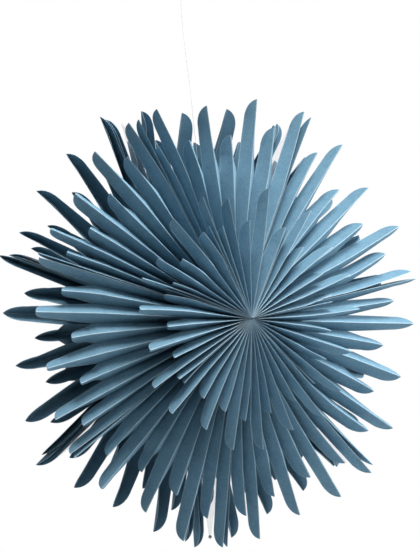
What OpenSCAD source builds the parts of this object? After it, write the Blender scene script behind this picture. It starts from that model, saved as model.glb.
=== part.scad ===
// Hanging star of folded paper.
// Seven pleated sections stand round one axis. Each section has an outer layer of long and
// short petals and a smaller inner layer of the same kind, on the front and on the back.
// The origin is the star's centre, +Z is up and the front faces -Y.

/* [Outer petals] */
// Diameter across the long outer petals
star_d = 600; // [580:5:620]
// Diameter across the short outer petals
short_d = 516; // [500:2:530]
// Radius where the outer pleats are slit apart into petals
outer_slit_r = 200; // [185:5:205]
// Length of the rounded end of an outer petal
outer_round = 28; // [20:2:34]
// Opening of an outer petal's end, as a share of its opening at the slit
outer_end_open = 0.7; // [0.4:0.05:0.75]
// Distance of the outer folds from the middle plane, at the axis
outer_centre_depth = 85; // [80:1:90]
// Distance of the outer folds from the middle plane, at the long tips
outer_tip_depth = 43; // [38:1:47]

/* [Inner petals] */
// Diameter across the long inner petals
inner_long_d = 346; // [330:2:356]
// Diameter across the short inner petals
inner_short_d = 268; // [262:2:280]
// Radius where the inner pleats are slit apart into petals
inner_slit_r = 90; // [80:2:94]
// Length of the rounded end of an inner petal
inner_round = 22; // [18:2:30]
// Opening of an inner petal's end, as a share of its opening at the slit
inner_end_open = 0.75; // [0.5:0.05:0.8]
// Gap between the inner layer's valleys and the outer layer's folds, at the axis
layer_gap = 13; // [6:1:16]
// Distance of the inner folds from the middle plane, at the long tips
inner_tip_depth = 109; // [104:1:114]

/* [Paper] */
// Width of a pleat from its fold to its valley
pleat_w = 20; // [18:0.5:22]
// Thickness of the paper
paper_t = 0.3; // [0.2:0.05:0.35]
// How much the petals differ from one another
petal_variety = 1; // [0:0.1:1]
// How much the upper pleats lean to one side as the star hangs
lean = 1; // [0:0.1:1]

/* [Joints between sections] */
// Thickness of the clear leaf that joins two sections
leaf_t = 0.4; // [0.3:0.05:0.5]
// Thickness of the glue between a leaf and the end walls on it
glue_line = 0.01; // [0.005:0.005:0.03]
// Distance of each section's last fold from the joint's plane
end_fold_gap = 0.9; // [0.8:0.05:1.1]
// Diameter of the closing stud on the lowest leaf
stud_d = 4.4; // [4:0.1:5]

/* [Middle] */
// Radius of the round hole that is left where all the folds meet
hub_r = 4; // [4:0.5:6]
// Clearance between that hole and the spine in it
hub_clearance = 0.01; // [0.005:0.005:0.02]

/* [Thread] */
// Diameter of the hanging thread
thread_d = 0.6; // [0.5:0.1:0.8]
// Diameter of the loop at the top of the thread
loop_d = 10; // [8:1:14]

/* [Hidden] */
PAPER = [0.43, 0.58, 0.69];
CLEAR = [0.86, 0.87, 0.88];
METAL = [0.35, 0.34, 0.33];
CARD = [0.80, 0.79, 0.76];
THREAD = [0.92, 0.92, 0.92];

sections = 7;
bottom_joint = 270;
// How far each joint has turned from an even spacing, starting with the lowest joint
JOINT_TURNS = [0.8, -2.3, -1.3, -0.3, 1.1, -3.5, 0];
fine = 48;

// Ridge counts of one section, and which kind of petal comes first
outer_ridges = 9;
inner_ridges = 7;
outer_first_long = 0;
inner_first_long = 1;

// The folds slope back towards their tips
outer_slope = (outer_centre_depth - outer_tip_depth) / (star_d / 2);
inner_centre_depth = outer_centre_depth + pleat_w + layer_gap;
inner_slope = (inner_centre_depth - inner_tip_depth) / (inner_long_d / 2);

// The end wall of a section lies on the leaf, and its last fold stands a little off it
end_wall_gap = leaf_t / 2 + glue_line + paper_t / 2;
hub_end_gap = end_wall_gap + 0.1;

// A sharp fold is no thicker than this where its two walls nearly close
fold_limit = 1;

// Share of the ridges' spacing by which they crowd together towards the joints
crowding = 0.02;

// Degrees by which the middle ridge of each section leans over, at lean 1
OUTER_LEANS = [0, 0.5, 0.5, 5, 4, 2.5, 0];
INNER_LEANS = [0, 0, 0, 10, 9.5, 4.5, 0.5];

// Share of the radius by which petals at a section's ends reach out and middle ones fall short
outer_scallop = 0.028;
inner_scallop = 0.03;

// Shares of the rounded end's length at which its outline has a point
ROUND_STEPS = [0.08, 0.4, 1];
round_power = 0.65;

// Differences between petals, at petal_variety 1
tip_turn = 0.55;
tip_reach = 0.022;
tip_lift = 3;
open_change = 0.25;

// Leaf outline
leaf_start_r = 20;
leaf_front = 100;
leaf_front_r = 92;
leaf_shoulder_r = 104;
leaf_shoulder = 58;
leaf_waist_r = 200;
leaf_waist = 29;
leaf_tip_r = 295;
leaf_tip_w = 5;

// Closing stud
stud_r = leaf_tip_r;
stud_post_d = 2;
stud_head_t = 1.8;

// Spine and hitch
spine_r = hub_r - hub_clearance;
spine_inset = 5;
hitch_t = 1;
hitch_w = 2;
hitch_room = 2;

// Route of the thread's middle line, from the hitch to the knot
THREAD_ROUTE = [
    [0, 0, hub_r + hitch_t], [-2, 0, 30], [-4, 0, 60], [-6, 0, 90], [-8, 0, 120], [-11, 0, 150],
    [-13, 0, 180], [-15, 0, 210], [-18, 0, 240], [-22, 0, 270], [-25, 0, 300], [-29, 0, 330],
    [-34, 0, 360], [-38, 0, 390], [-41, 0, 420], [-42, 0, 440], [-43, 0, 455]
];
thread_sides = 8;
thread_rings_per_leg = 4;
knot_d = 1.8;
knot_h = 2;

// A repeatable number from -1 to 1 for each petal and each of its traits
function differ(petal, trait) =
    let (wave = sin(petal * 127.1 + trait * 311.7) * 43758.5453)
    petal_variety * (2 * (wave - floor(wave)) - 1);

// Angle of a joint, counted from the lowest one, and the angle that a section spans
function joint_angle(number) =
    bottom_joint + number * 360 / sections + JOINT_TURNS[number % sections];
function section_span(section) = joint_angle(section + 1) - joint_angle(section);

// A layer is [ridge count, parity of the long petals, long radius, short radius, slit radius,
// length of the rounded end, depth at the axis, slope, number that sets its petals apart,
// scallop, leans of its sections, opening of the petals' ends], and the layer of one section
// has the angle that the section spans and the section's own lean after these
OUTER = [outer_ridges, outer_first_long, star_d / 2, short_d / 2, outer_slit_r,
    outer_round, outer_centre_depth, outer_slope, 0, outer_scallop, OUTER_LEANS,
    outer_end_open];
INNER = [inner_ridges, inner_first_long, inner_long_d / 2, inner_short_d / 2, inner_slit_r,
    inner_round, inner_centre_depth, inner_slope, 1000, inner_scallop, INNER_LEANS,
    inner_end_open];
function ridges(layer) = layer[0];
function is_long(layer, k) = k % 2 == layer[1];
function slit_r(layer) = layer[4];
function round_l(layer) = layer[5];
function fold_depth(layer, r) = layer[6] - layer[7] * r;
function layer_mark(layer) = layer[8];
function scallop(layer) = layer[9];
function section_lean(layer, section) = lean * layer[10][section];
function end_open(layer) = layer[11];
function span(layer) = layer[12];
function own_lean(layer) = layer[13];

// Angle of ridge k from the section's first joint, at radius r
function end_gap(layer, r) =
    hub_end_gap + (end_fold_gap - hub_end_gap) * (r - hub_r) / (slit_r(layer) - hub_r);
function ridge_angle(layer, k, r) =
    let (share = k / (ridges(layer) - 1))
    let (margin = asin(end_gap(layer, r) / r))
    let (place_share = share - crowding * sin(360 * share)
        + own_lean(layer) / span(layer) * sin(180 * share))
    margin + (span(layer) - 2 * margin) * place_share;

// Depth from a fold back to the valley whose half width is w
function drop(w) = sqrt(pow(pleat_w, 2) - pow(w, 2));

// Depth at which a section's end wall ends, at radius r: an outer one runs back to the middle
// plane but leaves room for the hitch, and an inner one ends in front of the outer folds
function end_wall_depth(layer, r) =
    layer_mark(layer) == layer_mark(OUTER)
        ? (hitch_w / 2 + hitch_room) * (slit_r(layer) - r) / (slit_r(layer) - hub_r)
        : fold_depth(OUTER, r) + 1.5 * fold_limit;

// Crease i of a section at radius r, as [angle, sideways shift, depth]. The creases are the end
// wall's edge, the end wall's foot, then ridges and valleys in turn, and the other end wall.
function crease(layer, i, r) =
    let (last = 2 * ridges(layer) + 2)
    i == 0 ? [0, end_wall_gap, end_wall_depth(layer, r)]
    : i == 1 ? [0, end_wall_gap, fold_depth(layer, r) - pleat_w]
    : i == last - 1 ? [span(layer), -end_wall_gap, fold_depth(layer, r) - pleat_w]
    : i == last ? [span(layer), -end_wall_gap, end_wall_depth(layer, r)]
    : i % 2 == 0 ? [ridge_angle(layer, i / 2 - 1, r), 0, fold_depth(layer, r)]
    : let (low = ridge_angle(layer, (i - 3) / 2, r))
      let (high = ridge_angle(layer, (i - 1) / 2, r))
      [(low + high) / 2, 0, fold_depth(layer, r) - drop(r * sin((high - low) / 2))];

// A crease flattened to [sideways, depth] for working out the walls' directions
function flat(crease, r) = [r * crease[0] * PI / 180 + crease[1], crease[2]];
function wall_normal(from, to) =
    let (step = to - from)
    [-step[1], step[0]] / norm(step);
function fold_offset(n1, n2) =
    let (full = (n1 + n2) * paper_t / 2 / max(1 + n1 * n2, 1e-6))
    full * min(1, fold_limit / norm(full));
function crease_offset(layer, i, r) =
    let (last = 2 * ridges(layer) + 2)
    let (here = flat(crease(layer, i, r), r))
    let (before = i == 0 ? here - [0, 1] : flat(crease(layer, i - 1, r), r))
    let (after = i == last ? here - [0, 1] : flat(crease(layer, i + 1, r), r))
    let (start = i == 0 ? [-1, 0] : wall_normal(before, here))
    let (end = i == last ? [1, 0] : wall_normal(here, after))
    fold_offset(start, end);

// A point of the paper's middle surface, moved by an offset, in the star's frame
function place(joint, r, angle, shift, depth, offset) =
    let (a = joint + angle)
    let (side = shift + offset[0])
    [r * cos(a) - side * sin(a), -depth - offset[1], r * sin(a) + side * cos(a)];

// Traits of one petal
function petal_number(layer, section, k, back) =
    layer_mark(layer) + 500 * back + 20 * section + k;
function petal_r(layer, petal, k) =
    let (plain_r = is_long(layer, k) ? layer[2] : layer[3])
    let (swing = scallop(layer) * cos(360 * k / (ridges(layer) - 1)))
    plain_r * (1 + swing + tip_reach * differ(petal, 1));
function is_end(layer, k, side) = side < 0 ? k == 0 : k == ridges(layer) - 1;
function is_edge(layer, k) = k == 0 || k == ridges(layer) - 1;
function petal_turn(layer, petal, k) =
    is_edge(layer, k)
        ? (k == 0 ? 1 : -1) * tip_turn / 2 * abs(differ(petal, 2))
        : tip_turn * differ(petal, 2);
function petal_lift(petal) = tip_lift * differ(petal, 3);
function slit_width(layer, k, side) =
    let (r = slit_r(layer))
    r * sin(abs(ridge_angle(layer, k + side, r) - ridge_angle(layer, k, r)) / 2);
function petal_width(layer, petal, k, side) =
    is_end(layer, k, side)
        ? end_fold_gap - end_wall_gap
        : slit_width(layer, k, side) * end_open(layer) * (1 + open_change * differ(petal, 4));

// Outline of the rounded end: share of the wall's width at a share of the end's length
function round_share(u) = sin(90 * pow(u, round_power));

// The free part of a petal: its tip, then the points of its left wall and of its right wall
function petal_points(layer, joint, section, k, back, face) =
    let (petal = petal_number(layer, section, k, back))
    let (root_r = slit_r(layer))
    let (root_angle = ridge_angle(layer, k, root_r))
    let (tip_r = petal_r(layer, petal, k))
    let (turn = petal_turn(layer, petal, k))
    let (left_w = petal_width(layer, petal, k, -1))
    let (right_w = petal_width(layer, petal, k, 1))
    let (left_normal = [-drop(left_w), left_w] / pleat_w)
    let (right_normal = [drop(right_w), right_w] / pleat_w)
    let (tip_offset = face * fold_offset(left_normal, right_normal))
    [
        place(joint, tip_r, root_angle + turn, 0,
            fold_depth(layer, tip_r) + petal_lift(petal), tip_offset),
        for (side = [-1, 1])
            for (u = ROUND_STEPS)
                let (r = tip_r - u * round_l(layer))
                let (along = (r - root_r) / (tip_r - root_r))
                let (w = side < 0 ? left_w : right_w)
                let (q = round_share(u))
                let (depth = fold_depth(layer, r) + along * petal_lift(petal) - q * drop(w))
                let (normal = side < 0 ? left_normal : right_normal)
                place(joint, r, root_angle + along * turn, side * q * w, depth,
                    face * normal * paper_t / 2)
    ];

// One side of the paper: creases at the hub, creases at the slits, then the petals
function sheet_side(layer, joint, section, back, face) =
    [
        for (r = [hub_r, slit_r(layer)])
            for (i = [0:2 * ridges(layer) + 2])
                let (c = crease(layer, i, r))
                place(joint, r, c[0], c[1], c[2], face * crease_offset(layer, i, r)),
        for (k = [0:ridges(layer) - 1])
            each petal_points(layer, joint, section, k, back, face)
    ];

// Triangles of one side, with the front of the paper towards the viewer. Inside the slits each
// wall bends along the line from its fold at the hub to its valley at the slits.
function sheet_faces(layer) =
    let (m = 2 * ridges(layer) + 3)
    [
        for (i = [0:m - 2])
            each i % 2 == 0
                ? [[i, i + 1, m + i + 1], [i, m + i + 1, m + i]]
                : [[i, i + 1, m + i], [i + 1, m + i + 1, m + i]],
        for (k = [0:ridges(layer) - 1])
            let (ridge = m + 2 + 2 * k)
            let (tip = 2 * m + 7 * k)
            each [
                [ridge, tip, tip + 1], [ridge, tip + 1, tip + 2],
                [ridge, tip + 2, tip + 3], [ridge, tip + 3, ridge - 1],
                [ridge, ridge + 1, tip + 6], [ridge, tip + 6, tip + 5],
                [ridge, tip + 5, tip + 4], [ridge, tip + 4, tip]
            ]
    ];

// Edges of that side in the direction in which its triangles run
function sheet_edges(layer) =
    let (m = 2 * ridges(layer) + 3)
    [
        for (i = [0:m - 2]) [i, i + 1],
        [m, 0], [m + 1, m], [m - 1, 2 * m - 1], [2 * m - 1, 2 * m - 2],
        for (k = [0:ridges(layer) - 1])
            let (ridge = m + 2 + 2 * k)
            let (tip = 2 * m + 7 * k)
            each [
                [tip, tip + 1], [tip + 1, tip + 2], [tip + 2, tip + 3], [tip + 3, ridge - 1],
                [ridge + 1, tip + 6], [tip + 6, tip + 5], [tip + 5, tip + 4], [tip + 4, tip]
            ]
    ];

// One pleated and slit sheet as a closed solid
module pleated_sheet(whole_layer, section, back) {
    layer = concat(whole_layer, [section_span(section), section_lean(whole_layer, section)]);
    joint = joint_angle(section);
    front_side = sheet_side(layer, joint, section, back, 1);
    back_side = sheet_side(layer, joint, section, back, -1);
    count = len(front_side);
    polyhedron(
        points = concat(front_side, back_side),
        faces = [
            each sheet_faces(layer),
            for (f = sheet_faces(layer)) [f[2] + count, f[1] + count, f[0] + count],
            for (e = sheet_edges(layer))
                each [[e[1], e[0], e[0] + count], [e[1], e[0] + count, e[1] + count]]
        ]
    );
}

module front_sheet(layer, number) {
    color(PAPER)
        pleated_sheet(layer, number - 1, 0);
}

module back_sheet(layer, number) {
    color(PAPER)
        mirror([0, 1, 0])
            pleated_sheet(layer, number - 1, 1);
}

// Stands a shape drawn in [radius, depth] in the plane of a joint
module in_joint(number) {
    rotate([0, -joint_angle(number - 1), 0])
        children();
}

// Clear leaf between two sections, which narrows to a tongue past their slits
module leaf_outline() {
    difference() {
        leaf_blank();
        translate([stud_r, 0])
            circle(d = stud_post_d, $fn = fine);
    }
}

module leaf_blank() {
    polygon([
        [leaf_start_r, -leaf_front], [leaf_front_r, -leaf_front], [leaf_shoulder_r, -leaf_shoulder],
        [leaf_waist_r, -leaf_waist], [leaf_tip_r, -leaf_tip_w / 2], [leaf_tip_r, leaf_tip_w / 2],
        [leaf_waist_r, leaf_waist], [leaf_shoulder_r, leaf_shoulder], [leaf_front_r, leaf_front],
        [leaf_start_r, leaf_front]
    ]);
    translate([leaf_tip_r, 0])
        circle(d = leaf_tip_w, $fn = fine);
}

module joint_leaf(number) {
    color(CLEAR)
        in_joint(number)
            translate([0, 0, -leaf_t / 2])
                linear_extrude(leaf_t)
                    leaf_outline();
}

// Press stud through the lowest leaf: the cap with its post on the left, the socket on the right
module at_stud() {
    in_joint(1)
        translate([stud_r, 0, 0])
            rotate_extrude($fn = fine)
                children();
}

module stud_cap() {
    half_leaf = leaf_t / 2;
    color(METAL)
        at_stud()
            polygon([
                [0, half_leaf + stud_head_t / 2], [stud_post_d / 2, half_leaf + stud_head_t / 2],
                [stud_post_d / 2, -half_leaf], [stud_d / 2, -half_leaf],
                [stud_d / 2, -half_leaf - stud_head_t / 2],
                [stud_d / 4, -half_leaf - stud_head_t], [0, -half_leaf - stud_head_t]
            ]);
}

module stud_socket() {
    half_leaf = leaf_t / 2;
    color(METAL)
        at_stud()
            polygon([
                [stud_post_d / 2, half_leaf + stud_head_t], [stud_post_d / 2, half_leaf],
                [stud_d / 2, half_leaf], [stud_d / 2, half_leaf + stud_head_t / 2],
                [stud_d / 2 - stud_head_t / 3, half_leaf + stud_head_t]
            ]);
}

// Spine along the axis, which the folds of all the sections meet
module spine() {
    spine_l = 2 * (inner_centre_depth - spine_inset);
    color(CARD)
        rotate([90, 0, 0])
            cylinder(r = spine_r, h = spine_l, center = true, $fn = fine);
}

// Turns of thread round the spine, drawn as one band
module thread_hitch() {
    color(THREAD)
        rotate([90, 0, 0])
            rotate_extrude($fn = fine)
                translate([spine_r, -hitch_w / 2])
                    square([hub_r + hitch_t - spine_r, hitch_w]);
}

// Middle line of the thread at a share t of leg i, as a smooth curve through the route
function route_point(i) = THREAD_ROUTE[min(max(i, 0), len(THREAD_ROUTE) - 1)];
function smooth_point(i, t) =
    let (a = route_point(i - 1))
    let (b = route_point(i))
    let (c = route_point(i + 1))
    let (d = route_point(i + 2))
    (2 * b + (c - a) * t + (2 * a - 5 * b + 4 * c - d) * t * t
        + (3 * b - a - 3 * c + d) * t * t * t) / 2;

module hanging_thread() {
    legs = len(THREAD_ROUTE) - 1;
    centres = [
        for (i = [0:legs - 1])
            for (j = [0:thread_rings_per_leg - 1])
                smooth_point(i, j / thread_rings_per_leg),
        route_point(legs)
    ];
    rings = len(centres);
    color(THREAD)
        polyhedron(
            points = [
                for (c = centres)
                    for (s = [0:thread_sides - 1])
                        let (a = 360 * (s + 0.5) / thread_sides)
                        c + thread_d / 2 * [cos(a), sin(a), 0]
            ],
            faces = [
                [for (s = [0:thread_sides - 1]) s],
                [for (s = [thread_sides - 1:-1:0]) (rings - 1) * thread_sides + s],
                for (k = [0:rings - 2])
                    for (s = [0:thread_sides - 1])
                        let (low = k * thread_sides)
                        let (high = low + thread_sides)
                        let (next = (s + 1) % thread_sides)
                        each [[low + s, high + s, high + next], [low + s, high + next, low + next]]
            ]
        );
}

// Knot and loop that hang the star
module hanging_loop() {
    color(THREAD)
        translate(route_point(len(THREAD_ROUTE) - 1)) {
            cylinder(d = knot_d, h = knot_h, $fn = fine);
            translate([0, 0, knot_h + loop_d / 2 - thread_d / 4])
                rotate([90, 0, 0])
                    rotate_extrude($fn = fine)
                        translate([loop_d / 2, 0])
                            circle(d = thread_d, $fn = 16);
        }
}

front_sheet(OUTER, 1);  // outer_front_pleats_1
front_sheet(OUTER, 2);  // outer_front_pleats_2
front_sheet(OUTER, 3);  // outer_front_pleats_3
front_sheet(OUTER, 4);  // outer_front_pleats_4
front_sheet(OUTER, 5);  // outer_front_pleats_5
front_sheet(OUTER, 6);  // outer_front_pleats_6
front_sheet(OUTER, 7);  // outer_front_pleats_7
back_sheet(OUTER, 1);  // outer_back_pleats_1
back_sheet(OUTER, 2);  // outer_back_pleats_2
back_sheet(OUTER, 3);  // outer_back_pleats_3
back_sheet(OUTER, 4);  // outer_back_pleats_4
back_sheet(OUTER, 5);  // outer_back_pleats_5
back_sheet(OUTER, 6);  // outer_back_pleats_6
back_sheet(OUTER, 7);  // outer_back_pleats_7
front_sheet(INNER, 1);  // inner_front_pleats_1
front_sheet(INNER, 2);  // inner_front_pleats_2
front_sheet(INNER, 3);  // inner_front_pleats_3
front_sheet(INNER, 4);  // inner_front_pleats_4
front_sheet(INNER, 5);  // inner_front_pleats_5
front_sheet(INNER, 6);  // inner_front_pleats_6
front_sheet(INNER, 7);  // inner_front_pleats_7
back_sheet(INNER, 1);  // inner_back_pleats_1
back_sheet(INNER, 2);  // inner_back_pleats_2
back_sheet(INNER, 3);  // inner_back_pleats_3
back_sheet(INNER, 4);  // inner_back_pleats_4
back_sheet(INNER, 5);  // inner_back_pleats_5
back_sheet(INNER, 6);  // inner_back_pleats_6
back_sheet(INNER, 7);  // inner_back_pleats_7
joint_leaf(1);  // joint_leaf_1
joint_leaf(2);  // joint_leaf_2
joint_leaf(3);  // joint_leaf_3
joint_leaf(4);  // joint_leaf_4
joint_leaf(5);  // joint_leaf_5
joint_leaf(6);  // joint_leaf_6
joint_leaf(7);  // joint_leaf_7
stud_cap();
stud_socket();
spine();
thread_hitch();
hanging_thread();
hanging_loop();
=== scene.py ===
"""Looks of the hanging paper star: petals of thin folded paper, clear leaves, stud and thread."""

import math

import bpy
import numpy as np
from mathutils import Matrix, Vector


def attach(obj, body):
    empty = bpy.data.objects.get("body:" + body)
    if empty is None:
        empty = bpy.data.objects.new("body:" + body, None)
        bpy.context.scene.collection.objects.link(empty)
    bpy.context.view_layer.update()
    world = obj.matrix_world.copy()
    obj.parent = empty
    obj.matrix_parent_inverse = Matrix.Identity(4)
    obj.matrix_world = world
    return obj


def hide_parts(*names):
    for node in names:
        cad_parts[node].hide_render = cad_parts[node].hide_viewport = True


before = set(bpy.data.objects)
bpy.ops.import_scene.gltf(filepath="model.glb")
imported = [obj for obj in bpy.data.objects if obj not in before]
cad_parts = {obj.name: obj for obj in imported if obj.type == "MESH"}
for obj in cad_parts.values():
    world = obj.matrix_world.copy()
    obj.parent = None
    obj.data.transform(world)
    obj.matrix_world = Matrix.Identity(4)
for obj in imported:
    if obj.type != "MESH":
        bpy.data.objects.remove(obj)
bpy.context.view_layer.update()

MM = 0.001

# Picture that the camera matches, in pixels
PICTURE_W = 420
PICTURE_H = 552
STAR_CENTRE_X = 207.4
STAR_CENTRE_Y = 320.7

# Camera: how far the star is turned away from it, and the size of a pixel at the star
CAMERA_AZIMUTH = -30.4
CAMERA_ELEVATION = -2.0
CAMERA_DISTANCE = 6.0
METRES_PER_PIXEL = 0.001366
SENSOR = 36.0

# Sizes of the star in millimetres and degrees, and shares of them, as in the part
SECTIONS = 7
BOTTOM_JOINT = 270.0
JOINT_TURNS = (0.8, -2.3, -1.3, -0.3, 1.1, -3.5, 0.0)
PLEAT_W = 20.0
PAPER_T = 0.3
LEAF_T = 0.4
GLUE_LINE = 0.01
CROWDING = 0.02
END_FOLD_GAP = 0.9
HUB_FOLD_GAP = 0.1
END_WALL_GAP = LEAF_T / 2 + GLUE_LINE + PAPER_T / 2
HUB_END_GAP = END_WALL_GAP + HUB_FOLD_GAP
HUB_R = 4.0
FOLD_LIMIT = 1.0
END_FOLD_LIMIT = 0.35
OUTER_END_DEPTH = 3.0
INNER_END_CLEARANCE = 1.5 * FOLD_LIMIT
WIDEST_OPEN = 0.99
TIP_TURN = 0.55
TIP_REACH = 0.022
TIP_LIFT = 3.0
OPEN_CHANGE = 0.25
ROUND_POWER = 0.65

OUTER = {
    "name": "outer", "ridges": 9, "long_parity": 0, "long_r": 300.0, "short_r": 258.0,
    "slit_r": 200.0, "round_l": 28.0, "end_open": 0.7, "depth": 85.0, "slope": (85.0 - 43.0) / 300.0,
    "mark": 0, "start_r": HUB_R, "scallop": 0.028, "leans": (0, 0.5, 0.5, 5, 4, 2.5, 0),
    "reach_limit": 0.05, "turn_limit": 2.5,
}
INNER = {
    "name": "inner", "ridges": 7, "long_parity": 1, "long_r": 173.0, "short_r": 134.0,
    "slit_r": 90.0, "round_l": 22.0, "end_open": 0.75, "depth": 118.0, "slope": (118.0 - 109.0) / 173.0,
    "mark": 1000, "start_r": 1.6, "scallop": 0.03, "leans": (0, 0, 0, 10, 9.5, 4.5, 0.5),
    "reach_limit": 0.05, "turn_limit": 4.0,
}

# Where the tips of the front petals show in the picture, as (degrees, pixels) round the hub,
# section by section from the lowest joint; 0 where another petal hides the tip
HUB_X = 251.0
HUB_Y = 318.0
FRONT_TIPS = {
    "outer": (
        ((264, 230), (268.5, 198), (272.5, 221), (277.7, 180), (284, 203), (290.5, 170), (297, 200),
         (303, 173), (309, 195)),
        ((309.7, 191), (316, 163), (322, 180), (329.5, 143), (338.5, 161), (348.5, 135), (358, 163),
         (7, 145), (15.5, 170)),
        ((16, 167), (25, 150), (31.5, 174), (39.5, 146), (47.5, 175), (55.5, 156), (62, 196),
         (68, 179), (74, 210)),
        ((75.5, 213), (83, 192), (88.5, 219), (96, 184), (102, 217), (109, 188), (114, 229),
         (118, 195), (120, 228)),
        ((122, 230), (127.5, 203), (133, 228), (138.5, 188), (145, 215), (151, 184), (156, 219),
         (160.5, 195), (163, 222)),
        ((164, 220), (171.5, 191), (178.5, 215), (186, 180), (193.8, 210), (201, 182), (207.5, 220),
         (212.5, 199), (217, 226)),
        ((218.3, 225), (224, 199), (229, 227), (235, 189), (241.5, 221), (247.5, 192), (253, 233),
         (258, 205), (263, 231)),
    ),
    "inner": (
        ((269.5, 102), (275.5, 132), (282.5, 97), (290.5, 120), (299, 94), (306.5, 122), (312, 93)),
        ((313.5, 92), (321, 116), (0, 0), (0, 0), (351.5, 81), (4.5, 109), (12.5, 84)),
        ((16, 84), (23.5, 108), (31, 84), (41, 108), (53, 88), (60.5, 123), (66.5, 96)),
        ((69, 97), (82, 131), (91, 98), (101, 122), (107, 96), (112, 130), (117, 100)),
        ((119, 98), (128, 126), (138.5, 90), (147.5, 108), (155, 85), (160, 115), (162.5, 88)),
        ((164.5, 87), (175.5, 111), (186.5, 81), (197.5, 105), (207.5, 86), (216, 119), (220.5, 94)),
        ((224.5, 93), (231, 124), (239.5, 93), (248, 120), (255.5, 97), (262, 133), (267, 103)),
    ),
}

# The same for outer back petals that show past the front ones, by section and petal
BACK_TIPS = {
    (3, 2): (96.5, 210), (3, 4): (107.5, 215), (3, 6): (118, 234), (3, 8): (127.5, 247),
    (4, 2): (138.5, 247), (4, 6): (160, 247), (4, 8): (166.5, 250), (5, 1): (173.5, 228),
    (5, 2): (179, 248), (5, 3): (185, 215), (5, 4): (191.7, 240), (5, 5): (197.3, 215),
    (5, 6): (204.3, 248), (5, 7): (207.7, 226), (5, 8): (213.8, 250), (6, 2): (223.8, 245),
    (6, 3): (226.5, 209), (6, 4): (234, 234), (6, 5): (237.5, 202), (6, 6): (245.5, 235),
    (6, 7): (247.5, 208), (6, 8): (253.5, 233),
}

# Steps that carry a petal's tip to its place in the picture, each at most so many millimetres and
# degrees, and the least turn that keeps a petal beside a joint clear of its neighbour
FIT_STEPS = 6
FIT_REACH = 15.0
FIT_TURN = 3.0
EDGE_TURN = 0.1

# How a petal departs from its plain folded form
BOW_INNER = 0.25
BOW_INNER_R = 60.0
BOW_PETAL = 0.8
CURL_DEPTH = 2.2
CURL_SIDE = 1.6
TWIST = 5.0
BLUNT_TIP = 0.1

# Traits in which petals differ, by number; each of the two tones takes one for each side of a fold
REACH, TURN, LIFT, OPEN, SWAY, CURL, TWISTED, TONE = range(1, 9)
END_TONE = 10

# Where walls crowd at the hub, the paper takes up at most this share of a wall's width, and a width
# counts as at least this much for the paper and for its fold
CROWDED_SHARE = 0.7
LEAST_WALL_W = 0.05
LEAST_FOLD_W = 0.2

# Widths of the painted highlight along a fold and of the lighter cut edge (pale paper core and painted
# highlight), in millimetres
FOLD_HIGHLIGHT_W = 0.55
CUT_PALE_AND_HIGHLIGHT_W = 0.5

# Thread from the hitch on the spine up to the knot, in millimetres
THREAD_ROUTE = [
    (0, 0, 5), (-2, 0, 30), (-4, 0, 60), (-6, 0, 90), (-8, 0, 120), (-11, 0, 150),
    (-13, 0, 180), (-15, 0, 210), (-18, 0, 240), (-22, 0, 270), (-25, 0, 300), (-29, 0, 330),
    (-34, 0, 360), (-38, 0, 390), (-41, 0, 420), (-42, 0, 440), (-43, 0, 455),
]
THREAD_D = 0.6

# Floor in metres, with the distances between which it fades out
FLOOR_SIZE = 14.0
FLOOR_Z = -1.15
FLOOR_FADE = (0.6, 3.6)

# Lamps: name, place, diameter, power and colour
LAMPS = (
    ("key", (0.3, -1.1, 2.9), 1.5, 160, (1.0, 0.99, 0.97)),
    ("right", (2.7, -1.3, 0.9), 1.8, 105, (0.98, 0.99, 1.0)),
    ("front_left", (-0.7, -2.8, 1.5), 1.6, 19, (0.95, 0.98, 1.0)),
)


# Camera
def make_camera():
    """Makes the camera and gives its place and axes."""
    azimuth = math.radians(CAMERA_AZIMUTH)
    elevation = math.radians(CAMERA_ELEVATION)
    back = Vector((
        math.sin(azimuth) * math.cos(elevation),
        -math.cos(azimuth) * math.cos(elevation),
        math.sin(elevation),
    ))
    turn = (-back).to_track_quat("-Z", "Y")
    right = turn @ Vector((1, 0, 0))
    up = turn @ Vector((0, 1, 0))
    aim = right * (PICTURE_W / 2 - STAR_CENTRE_X) * METRES_PER_PIXEL
    aim += up * (STAR_CENTRE_Y - PICTURE_H / 2) * METRES_PER_PIXEL
    data = bpy.data.cameras.new("camera")
    data.sensor_width = SENSOR
    data.lens = CAMERA_DISTANCE / METRES_PER_PIXEL * SENSOR / max(PICTURE_W, PICTURE_H)
    data.clip_end = 100
    camera = bpy.data.objects.new("camera", data)
    camera.location = aim + back * CAMERA_DISTANCE
    camera.rotation_mode = "QUATERNION"
    camera.rotation_quaternion = turn
    bpy.context.collection.objects.link(camera)
    bpy.context.scene.camera = camera
    return camera.location, right, up, back


def to_picture(view, point):
    """Pixel of the picture in which a point in millimetres shows."""
    eye, right, up, back = view
    ray = Vector(point) * MM - eye
    scale = CAMERA_DISTANCE / METRES_PER_PIXEL / -ray.dot(back)
    return PICTURE_W / 2 + scale * ray.dot(right), PICTURE_H / 2 - scale * ray.dot(up)


# Thread
def make_thread(material):
    curve = bpy.data.curves.new("thread", "CURVE")
    curve.dimensions = "3D"
    curve.bevel_depth = THREAD_D / 2 * MM
    curve.bevel_resolution = 2
    line = curve.splines.new("POLY")
    line.points.add(len(THREAD_ROUTE) - 1)
    for point, spot in zip(line.points, THREAD_ROUTE):
        point.co = (*(v * MM for v in spot), 1)
    curve.materials.append(material)
    thread = bpy.data.objects.new("hanging_thread_line", curve)
    bpy.context.collection.objects.link(thread)
    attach(thread, "root")
    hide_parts("hanging_thread")


# Materials
def new_material(name):
    material = bpy.data.materials.new(name)
    material.use_nodes = True
    nodes = material.node_tree.nodes
    return material, nodes, material.node_tree.links, nodes["Principled BSDF"]


def add_node(nodes, kind, **values):
    made = nodes.new(kind)
    for key, value in values.items():
        if key in made.inputs:
            made.inputs[key].default_value = value
        else:
            setattr(made, key, value)
    return made


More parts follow.
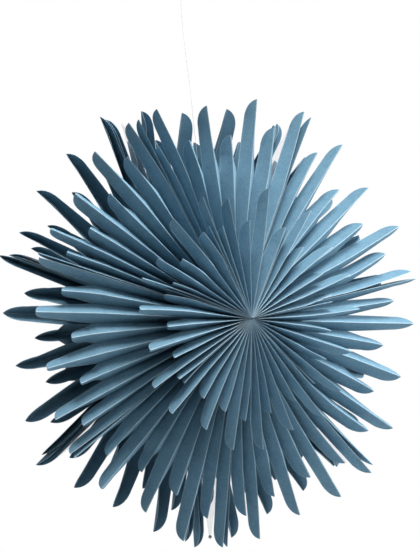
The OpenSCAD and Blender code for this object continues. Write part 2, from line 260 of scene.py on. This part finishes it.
def mix_colour(nodes, links, factor, first, second):
    mix = nodes.new("ShaderNodeMix")
    mix.data_type = "RGBA"
    for socket, value in ((mix.inputs[0], factor), (mix.inputs[6], first), (mix.inputs[7], second)):
        if isinstance(value, bpy.types.NodeSocket):
            links.new(value, socket)
        else:
            socket.default_value = value
    return mix.outputs[2]


def on_surface(nodes, links, kind="ShaderNodeTexNoise", **values):
    """Strength of a texture that is fixed to the piece itself."""
    texture = add_node(nodes, kind, **values)
    links.new(nodes.new("ShaderNodeTexCoord").outputs["Object"], texture.inputs["Vector"])
    return texture.outputs["Fac"]


def scaled_range(nodes, links, value, low, high, to_low, to_high):
    step = nodes.new("ShaderNodeMapRange")
    links.new(value, step.inputs["Value"])
    step.inputs["From Min"].default_value = low
    step.inputs["From Max"].default_value = high
    step.inputs["To Min"].default_value = to_low
    step.inputs["To Max"].default_value = to_high
    return step.outputs["Result"]


def combined(nodes, links, operation, first, second):
    step = nodes.new("ShaderNodeMath")
    step.operation = operation
    links.new(first, step.inputs[0])
    links.new(second, step.inputs[1])
    return step.outputs["Value"]


def blended(nodes, links, share, first, second):
    blend = nodes.new("ShaderNodeMixShader")
    links.new(share, blend.inputs["Fac"])
    links.new(first, blend.inputs[1])
    links.new(second, blend.inputs[2])
    return blend.outputs["Shader"]


def paper_material():
    material, nodes, links, shader = new_material("blue_paper")
    marks = add_node(nodes, "ShaderNodeAttribute", attribute_name="marks")
    split = nodes.new("ShaderNodeSeparateColor")
    links.new(marks.outputs["Color"], split.inputs["Color"])
    fold, cut, tone = split.outputs["Red"], split.outputs["Green"], split.outputs["Blue"]

    # Cloudy mottling of the dyed pulp, and finer fibres in it
    clouds = on_surface(nodes, links, Scale=90.0, Detail=4.0, Roughness=0.6)
    fibres = on_surface(nodes, links, Scale=620.0, Detail=3.0, Roughness=0.7)
    grit = on_surface(nodes, links, Scale=1900.0, Detail=2.0, Roughness=0.6)
    cloud_share = scaled_range(nodes, links, clouds, 0.3, 0.7, 0.0, 1.0)
    colour = mix_colour(nodes, links, cloud_share, (0.082, 0.186, 0.270, 1), (0.114, 0.238, 0.328, 1))
    fibre_share = scaled_range(nodes, links, fibres, 0.40, 0.68, 0.0, 0.6)
    colour = mix_colour(nodes, links, fibre_share, colour, (0.205, 0.340, 0.430, 1))

    # Each petal has a slightly different tone
    tone_share = scaled_range(nodes, links, tone, 0.0, 1.0, 0.0, 0.22)
    colour = mix_colour(nodes, links, tone_share, colour, (0.072, 0.160, 0.238, 1))

    # Painted highlight along the folds; cut edges lighter, partly the paper's pale core and partly
    # painted highlight
    fold_highlight_share = scaled_range(nodes, links, fold, 0.0, 1.0, 0.0, 0.75)
    colour = mix_colour(nodes, links, fold_highlight_share, colour, (0.56, 0.70, 0.78, 1))
    # Cut edges: the paper's pale core, plus a painted highlight where the edges catch the light
    cut_pale_and_highlight_share = scaled_range(nodes, links, cut, 0.0, 1.0, 0.0, 0.6)
    colour = mix_colour(nodes, links, cut_pale_and_highlight_share, colour, (0.50, 0.62, 0.70, 1))
    links.new(colour, shader.inputs["Base Color"])

    rough = scaled_range(nodes, links, fibres, 0.3, 0.7, 0.74, 0.92)
    links.new(rough, shader.inputs["Roughness"])
    shader.inputs["Specular IOR Level"].default_value = 0.28

    bump = add_node(nodes, "ShaderNodeBump", Strength=0.3, Distance=0.0004)
    links.new(combined(nodes, links, "ADD", fibres, grit), bump.inputs["Height"])
    links.new(bump.outputs["Normal"], shader.inputs["Normal"])
    return material


def leaf_material():
    material, nodes, links, shader = new_material("clear_leaf")
    haze = on_surface(nodes, links, Scale=60.0, Detail=3.0)
    shade = scaled_range(nodes, links, haze, 0.3, 0.7, 0.0, 1.0)
    links.new(
        mix_colour(nodes, links, shade, (0.72, 0.73, 0.75, 1), (0.80, 0.80, 0.82, 1)),
        shader.inputs["Base Color"],
    )
    shader.inputs["Roughness"].default_value = 0.3
    shader.inputs["Specular IOR Level"].default_value = 0.35
    clear = nodes.new("ShaderNodeBsdfTransparent")
    clear.inputs["Color"].default_value = (0.97, 0.97, 0.975, 1)
    milky = scaled_range(nodes, links, haze, 0.3, 0.7, 0.10, 0.16)
    both = blended(nodes, links, milky, clear.outputs["BSDF"], shader.outputs["BSDF"])
    links.new(both, nodes["Material Output"].inputs["Surface"])
    return material


def metal_material():
    material, nodes, links, shader = new_material("stud_metal")
    wear = on_surface(nodes, links, Scale=1500.0, Detail=3.0)
    shade = scaled_range(nodes, links, wear, 0.35, 0.65, 0.0, 1.0)
    links.new(
        mix_colour(nodes, links, shade, (0.16, 0.155, 0.15, 1), (0.27, 0.26, 0.25, 1)),
        shader.inputs["Base Color"],
    )
    shader.inputs["Metallic"].default_value = 1.0
    rough = scaled_range(nodes, links, wear, 0.3, 0.7, 0.22, 0.42)
    links.new(rough, shader.inputs["Roughness"])
    return material


def thread_material():
    material, nodes, links, shader = new_material("thread")
    twist = on_surface(
        nodes, links, "ShaderNodeTexWave", Scale=400.0, Distortion=2.0, bands_direction="Z",
    )
    links.new(
        mix_colour(nodes, links, twist, (0.62, 0.63, 0.64, 1), (0.74, 0.74, 0.75, 1)),
        shader.inputs["Base Color"],
    )
    shader.inputs["Roughness"].default_value = 0.35
    return material


def card_material():
    material, nodes, links, shader = new_material("spine_card")
    fibres = on_surface(nodes, links, Scale=500.0, Detail=4.0)
    links.new(
        mix_colour(nodes, links, fibres, (0.52, 0.50, 0.45, 1), (0.66, 0.64, 0.59, 1)),
        shader.inputs["Base Color"],
    )
    shader.inputs["Roughness"].default_value = 0.9
    bump = add_node(nodes, "ShaderNodeBump", Strength=0.2, Distance=0.0003)
    links.new(fibres, bump.inputs["Height"])
    links.new(bump.outputs["Normal"], shader.inputs["Normal"])
    return material


# Measures of the folded sheets, which follow the part's own formulas
def differ(petal, trait):
    """A number from -1 to 1 that stays the same for a trait of a petal."""
    wave = math.sin(math.radians(petal * 127.1 + trait * 311.7)) * 43758.5453
    return 2 * (wave - math.floor(wave)) - 1


def petal_number(layer, section, k, back):
    """Number of a petal, from which its small differences follow."""
    return layer["mark"] + 500 * back + 20 * section + k


def joint_angle(number):
    """Direction of a joint, in degrees anticlockwise from the right."""
    return BOTTOM_JOINT + number * 360 / SECTIONS + JOINT_TURNS[number % SECTIONS]


def fold_depth(layer, r):
    """How far the folds lie in front of the star's middle plane."""
    return layer["depth"] - layer["slope"] * r


def end_gap(layer, r):
    """Distance of a section's last fold from the joint."""
    share = (r - HUB_R) / (layer["slit_r"] - HUB_R)
    return HUB_END_GAP + (END_FOLD_GAP - HUB_END_GAP) * share


def ridge_angle(layer, section, k, r):
    """Direction of a fold from the section's first joint, in degrees."""
    share = k / (layer["ridges"] - 1)
    span = joint_angle(section + 1) - joint_angle(section)
    margin = np.degrees(np.arcsin(end_gap(layer, r) / r))
    lean = layer["leans"][section] / span * math.sin(math.pi * share)
    return margin + (span - 2 * margin) * (share - CROWDING * math.sin(2 * math.pi * share) + lean)


def drop(w):
    """Depth from a fold to the valley of a wall that opens to a width."""
    return np.sqrt(PLEAT_W ** 2 - np.minimum(w, PLEAT_W * WIDEST_OPEN) ** 2)


def smooth(x):
    """Rises gently from 0 to 1."""
    x = np.clip(x, 0, 1)
    return x * x * (3 - 2 * x)


def place(joint, r, angle, side, depth, back):
    """Points in metres, from a direction, a sideways shift and a depth in millimetres."""
    a = np.radians(joint + angle)
    facing = 1 if back else -1
    return np.stack([
        r * np.cos(a) - side * np.sin(a),
        facing * depth,
        r * np.sin(a) + side * np.cos(a),
    ], axis=-1) * MM


def fit_tip(view, layer, section, k, back, plain_r, slit_angle, drift):
    """Reach and turn that carry a petal's tip to where the picture shows it."""
    if back:
        seen = BACK_TIPS.get((section, k)) if layer is OUTER else None
    else:
        seen = FRONT_TIPS[layer["name"]][section][k]
    if not seen or not seen[1]:
        return None
    target_x = HUB_X + seen[1] * math.cos(math.radians(seen[0]))
    target_y = HUB_Y - seen[1] * math.sin(math.radians(seen[0]))
    joint = joint_angle(section)
    facing = 1 if back else -1
    r, angle = plain_r, slit_angle

    def shown(r, angle):
        a = math.radians(joint + angle)
        depth = fold_depth(layer, r) + drift
        return to_picture(view, (r * math.cos(a), facing * depth, r * math.sin(a)))

    for _ in range(FIT_STEPS):
        x, y = shown(r, angle)
        xr, yr = shown(r + 1, angle)
        xa, ya = shown(r, angle + 1)
        slopes = np.array([[xr - x, xa - x], [yr - y, ya - y]])
        step = np.linalg.solve(slopes, [target_x - x, target_y - y])
        r += float(np.clip(step[0], -FIT_REACH, FIT_REACH))
        angle += float(np.clip(step[1], -FIT_TURN, FIT_TURN))
    return r / plain_r - 1, angle - slit_angle


class Sheet:
    """Gathers the walls of one folded sheet as grids of points, and makes one mesh of them."""

    def __init__(self):
        self.points = []
        self.faces = []
        self.marks = []
        self.count = 0

    def add_grid(self, grid, marks, flip):
        rows, columns, _ = grid.shape
        number = self.count + np.arange(rows * columns).reshape(rows, columns)
        corners = [number[:-1, :-1], number[1:, :-1], number[1:, 1:], number[:-1, 1:]]
        if flip:
            corners.reverse()
        self.faces.append(np.stack(corners, axis=-1).reshape(-1, 4))
        self.points.append(grid.reshape(-1, 3))
        self.marks.append(marks.reshape(-1, 3))
        self.count += rows * columns

    def make(self, name, material):
        points = np.concatenate(self.points)
        faces = np.concatenate(self.faces)
        marks = np.concatenate(self.marks)
        mesh = bpy.data.meshes.new(name)
        mesh.from_pydata(points.tolist(), [], faces.tolist())
        attribute = mesh.color_attributes.new("marks", "FLOAT_COLOR", "POINT")
        colours = np.concatenate([marks, np.ones((len(marks), 1))], axis=1)
        attribute.data.foreach_set("color", colours.astype(np.float32).ravel())
        mesh.shade_smooth()
        mesh.materials.append(material)
        made = bpy.data.objects.new(name, mesh)
        bpy.context.collection.objects.link(made)
        return made


# Stations along a petal and across a wall, as shares
PLEAT_STEPS = np.linspace(0, 1, 15) ** 1.3
PETAL_STEPS = np.linspace(0, 1, 11)[1:]
ROUND_STEPS = np.array([0.94, 0.84, 0.70, 0.54, 0.38, 0.25, 0.14, 0.06, 0.015, 0.0])
WALL_STEPS = np.array([0, 0.02, 0.05, 0.18, 0.38, 0.6, 0.8, 0.93, 0.98, 1.0])


def add_wall(sheet, layer, view, section, k, side, back):
    """One wall of a pleat, from the hub to the petal's rounded end."""
    ridges = layer["ridges"]
    joint = joint_angle(section)
    petal = petal_number(layer, section, k, back)
    is_end = k == (0 if side < 0 else ridges - 1)
    is_edge = k in (0, ridges - 1)
    slit_r = layer["slit_r"]
    plain_r = layer["long_r"] if k % 2 == layer["long_parity"] else layer["short_r"]
    swing = layer["scallop"] * math.cos(2 * math.pi * k / (ridges - 1))
    reach = swing + TIP_REACH * differ(petal, REACH)
    turn = TIP_TURN * differ(petal, TURN)
    lift = TIP_LIFT * differ(petal, LIFT)
    curl_depth = CURL_DEPTH * differ(petal, CURL)
    slit_angle = float(ridge_angle(layer, section, k, slit_r))
    fit = fit_tip(view, layer, section, k, back, plain_r, slit_angle, lift + curl_depth)
    if fit:
        reach = float(np.clip(fit[0], swing - layer["reach_limit"], swing + layer["reach_limit"]))
        turn = float(np.clip(fit[1], -layer["turn_limit"], layer["turn_limit"]))
    if is_edge:
        turn = max(turn, EDGE_TURN) if k == 0 else min(turn, -EDGE_TURN)
    tip_r = plain_r * (1 + reach)
    round_r = tip_r - layer["round_l"]

    # Radii of the rows: along the pleat, along the free petal, then round its end
    r = np.concatenate([
        layer["start_r"] + PLEAT_STEPS * (slit_r - layer["start_r"]),
        slit_r + PETAL_STEPS * (round_r - slit_r),
        tip_r - ROUND_STEPS * layer["round_l"],
    ])
    free = np.clip((r - slit_r) / (tip_r - slit_r), 0, 1)
    on_pleat = np.minimum(r, slit_r)

    # The fold line; a petal beside a joint neither sways nor twists
    loose = 0 if is_edge else 1
    curl = free ** 2
    angle = ridge_angle(layer, section, k, on_pleat) + free * turn
    depth = fold_depth(layer, r) + free * lift + curl_depth * curl
    sway = CURL_SIDE * differ(petal, SWAY) * curl * loose

    # Half width of the wall: down to the valley, then out to the free edge
    if is_end:
        width = np.where(r > slit_r, END_FOLD_GAP, end_gap(layer, on_pleat)) - END_WALL_GAP
    else:
        gap = np.radians(abs(
            ridge_angle(layer, section, k + side, on_pleat) - ridge_angle(layer, section, k, on_pleat)
        ))
        valley_w = on_pleat * np.tan(gap / 2)
        end_w = valley_w[-1] * layer["end_open"] * (1 + OPEN_CHANGE * differ(petal, OPEN))
        closed = np.clip((r - slit_r) / (round_r - slit_r), 0, 1) ** 1.15
        width = valley_w + (end_w - valley_w) * closed
    fall = drop(width)

    # Share of the wall's full width that is left in the rounded end
    left = np.clip((tip_r - r) / layer["round_l"], 0, 1)
    reach_q = np.maximum(np.sin(np.pi / 2 * left ** ROUND_POWER), BLUNT_TIP)
    q = WALL_STEPS[None, :] * reach_q[:, None]

    # A wall bows outwards a little, and a petal twists a little about its fold
    bow = BOW_INNER * smooth(r / BOW_INNER_R) + (BOW_PETAL - BOW_INNER) * smooth(free * 2)
    if is_end:
        bow = np.zeros_like(r)
    across = side * (q * width[:, None] + np.sin(np.pi * q) * bow[:, None])
    down = -q * fall[:, None]
    twist = np.radians(TWIST * differ(petal, TWISTED)) * free[:, None] * loose
    side_shift = across * np.cos(twist) - down * np.sin(twist) + sway[:, None]
    level = depth[:, None] + across * np.sin(twist) + down * np.cos(twist)

    # Thickness: square to the wall, and along the depth at the fold and the valley
    if is_end:
        thick = np.full_like(r, PAPER_T)
    else:
        thick = np.minimum(PAPER_T, CROWDED_SHARE * np.maximum(width, LEAST_WALL_W))
    half = thick[:, None] / 2 * np.ones_like(q)
    normal_side = side * fall[:, None] / PLEAT_W * half
    normal_depth = width[:, None] / PLEAT_W * half
    fold_half = np.minimum(FOLD_LIMIT, thick / 2 * PLEAT_W / np.maximum(width, LEAST_FOLD_W))
    normal_side[:, 0] = 0
    if is_end:
        normal_depth[:, 0] = np.minimum(fold_half, END_FOLD_LIMIT)
    else:
        joined = r <= slit_r + 1e-6
        normal_depth[:, 0] = fold_half
        normal_side[joined, -1] = 0
        normal_depth[joined, -1] = fold_half[joined]

    # Marks for the paper: painted highlight along the fold, lighter cut edge (pale core and painted
    # highlight), tone of the petal
    from_fold = q * PLEAT_W
    marks = np.zeros((*q.shape, 3))
    # Painted highlight along the fold
    marks[..., 0] = np.exp(-(from_fold / FOLD_HIGHLIGHT_W) ** 2)
    # Lighter cut edge: pale paper core with a painted highlight
    to_edge = (reach_q[:, None] - q) * PLEAT_W
    marks[..., 1] = np.exp(-(to_edge / CUT_PALE_AND_HIGHLIGHT_W) ** 2) * np.where(r > slit_r, 1, 0)[:, None]
    marks[..., 2] = 0.5 + 0.5 * differ(petal, TONE + (side > 0))

    rows = r[:, None]
    flip = (side < 0) != bool(back)
    front = place(joint, rows, angle[:, None], side_shift + normal_side, level + normal_depth, back)
    rear = place(joint, rows, angle[:, None], side_shift - normal_side, level - normal_depth, back)
    sheet.add_grid(front, marks, flip)
    sheet.add_grid(rear, marks, not flip)

    # Cut edge of the free petal and of its tip
    first = len(PLEAT_STEPS) - 1
    edge = np.stack([front[first:, -1], rear[first:, -1]], axis=1)
    edge_marks = np.stack([marks[first:, -1], marks[first:, -1]], axis=1)
    sheet.add_grid(edge, edge_marks, flip)
    tip = np.stack([front[-1, ::-1], rear[-1, ::-1]], axis=1)
    tip_marks = np.stack([marks[-1, ::-1], marks[-1, ::-1]], axis=1)
    sheet.add_grid(tip, tip_marks, flip)


def end_wall_depth(layer, r):
    """Depth of an end wall's rear edge: near the middle plane, or just in front of the outer folds."""
    if layer is OUTER:
        return OUTER_END_DEPTH * (layer["slit_r"] - r) / (layer["slit_r"] - HUB_R)
    return fold_depth(OUTER, r) + INNER_END_CLEARANCE


def add_end_wall(sheet, layer, section, side, back):
    """The flat wall that a section ends in, from its last pleat back to its rear edge."""
    joint = joint_angle(section)
    span = joint_angle(section + 1) - joint
    r = np.linspace(max(layer["start_r"], HUB_R), layer["slit_r"], 9)
    foot = fold_depth(layer, r) - PLEAT_W
    rear = end_wall_depth(layer, r)
    steps = np.linspace(0, 1, 4)[None, :]
    depth = foot[:, None] + (rear - foot)[:, None] * steps
    angle = 0 if side < 0 else span
    shift = -side * END_WALL_GAP * np.ones_like(depth)
    marks = np.zeros((*depth.shape, 3))
    wall = petal_number(layer, section, 0, back)
    marks[..., 2] = 0.5 + 0.5 * differ(wall, END_TONE + (side > 0))
    rows = r[:, None]
    flip = (side < 0) != bool(back)
    outside = place(joint, rows, angle, shift + side * PAPER_T / 2, depth, back)
    inside = place(joint, rows, angle, shift - side * PAPER_T / 2, depth, back)
    sheet.add_grid(outside, marks, flip)
    sheet.add_grid(inside, marks, not flip)
    for outer_line, inner_line, lines in (
        (outside[:, -1], inside[:, -1], marks[:, -1]),
        (outside[-1], inside[-1], marks[-1]),
    ):
        sheet.add_grid(np.stack([outer_line, inner_line], axis=1), np.stack([lines, lines], axis=1), flip)


def make_sheet(layer, view, section, back, material):
    sheet = Sheet()
    for k in range(layer["ridges"]):
        for side in (-1, 1):
            add_wall(sheet, layer, view, section, k, side, back)
    for side in (-1, 1):
        add_end_wall(sheet, layer, section, side, back)
    face = "back" if back else "front"
    node = f"{layer['name']}_{face}_pleats_{section + 1}"
    made = sheet.make(f"{node}_paper", material)
    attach(made, "root")
    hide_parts(node)


def paint(node, material):
    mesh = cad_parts[node].data
    mesh.materials.clear()
    mesh.materials.append(material)


# Floor, lights and white surroundings
def make_floor():
    bpy.ops.mesh.primitive_plane_add(size=FLOOR_SIZE, location=(0, 0, FLOOR_Z))
    floor = bpy.context.object
    floor.name = "floor"
    material, nodes, links, shader = new_material("floor")
    clouds = on_surface(nodes, links, Scale=3.0, Detail=2.0)
    links.new(
        mix_colour(nodes, links, clouds, (0.80, 0.80, 0.80, 1), (0.83, 0.83, 0.83, 1)),
        shader.inputs["Base Color"],
    )
    shader.inputs["Roughness"].default_value = 0.9

    # The floor fades out towards its rim, so that no horizon shows
    distance = nodes.new("ShaderNodeVectorMath")
    distance.operation = "LENGTH"
    links.new(nodes.new("ShaderNodeTexCoord").outputs["Object"], distance.inputs[0])
    faded = scaled_range(nodes, links, distance.outputs["Value"], *FLOOR_FADE, 0.0, 1.0)
    clear = nodes.new("ShaderNodeBsdfTransparent")
    both = blended(nodes, links, faded, shader.outputs["BSDF"], clear.outputs["BSDF"])
    links.new(both, nodes["Material Output"].inputs["Surface"])
    floor.data.materials.append(material)


def make_lamp(name, location, size, energy, colour):
    data = bpy.data.lights.new(name, "AREA")
    data.shape = "DISK"
    data.size = size
    data.energy = energy
    data.color = colour
    light = bpy.data.objects.new(name, data)
    light.location = location
    light.rotation_mode = "QUATERNION"
    light.rotation_quaternion = (-Vector(location)).to_track_quat("-Z", "Y")
    bpy.context.collection.objects.link(light)


def make_world():
    world = bpy.data.worlds.new("studio")
    bpy.context.scene.world = world
    world.use_nodes = True
    nodes, links = world.node_tree.nodes, world.node_tree.links
    nodes.clear()
    towards = nodes.new("ShaderNodeSeparateXYZ")
    links.new(nodes.new("ShaderNodeTexCoord").outputs["Generated"], towards.inputs["Vector"])

    # Brighter from above and from the right, and dim straight in front of the star
    height = scaled_range(nodes, links, towards.outputs["Z"], -0.5, 0.8, 0.12, 0.85)
    right = scaled_range(nodes, links, towards.outputs["X"], -0.7, 0.7, 0.3, 1.0)
    ahead = scaled_range(nodes, links, towards.outputs["Y"], -0.8, -0.2, 0.05, 1.0)
    both = combined(nodes, links, "MULTIPLY", height, right)
    strength = combined(nodes, links, "MULTIPLY", both, ahead)
    light = nodes.new("ShaderNodeBackground")
    light.inputs["Color"].default_value = (0.96, 0.98, 1.0, 1)
    links.new(strength, light.inputs["Strength"])
    white = nodes.new("ShaderNodeBackground")
    white.inputs["Color"].default_value = (1, 1, 1, 1)
    white.inputs["Strength"].default_value = 1.0

    # The white shows to the camera, in gloss and through clear pieces, and adds no diffuse light
    rays = nodes.new("ShaderNodeLightPath").outputs
    seen = combined(nodes, links, "MAXIMUM", rays["Is Camera Ray"], rays["Is Glossy Ray"])
    seen = combined(nodes, links, "MAXIMUM", seen, rays["Is Transmission Ray"])
    shown = blended(nodes, links, seen, light.outputs["Background"], white.outputs["Background"])
    output = nodes.new("ShaderNodeOutputWorld")
    links.new(shown, output.inputs["Surface"])


view = make_camera()
thread_look = thread_material()
make_thread(thread_look)

paper = paper_material()
for layer in (OUTER, INNER):
    for section in range(SECTIONS):
        for back in (0, 1):
            make_sheet(layer, view, section, back, paper)

leaf = leaf_material()
for number in range(1, SECTIONS + 1):
    paint(f"joint_leaf_{number}", leaf)
metal = metal_material()
paint("stud_cap", metal)
paint("stud_socket", metal)
paint("spine", card_material())
paint("thread_hitch", thread_look)
paint("hanging_loop", thread_look)

make_floor()
for lamp in LAMPS:
    make_lamp(*lamp)
make_world()
bpy.context.scene.view_settings.view_transform = "Standard"
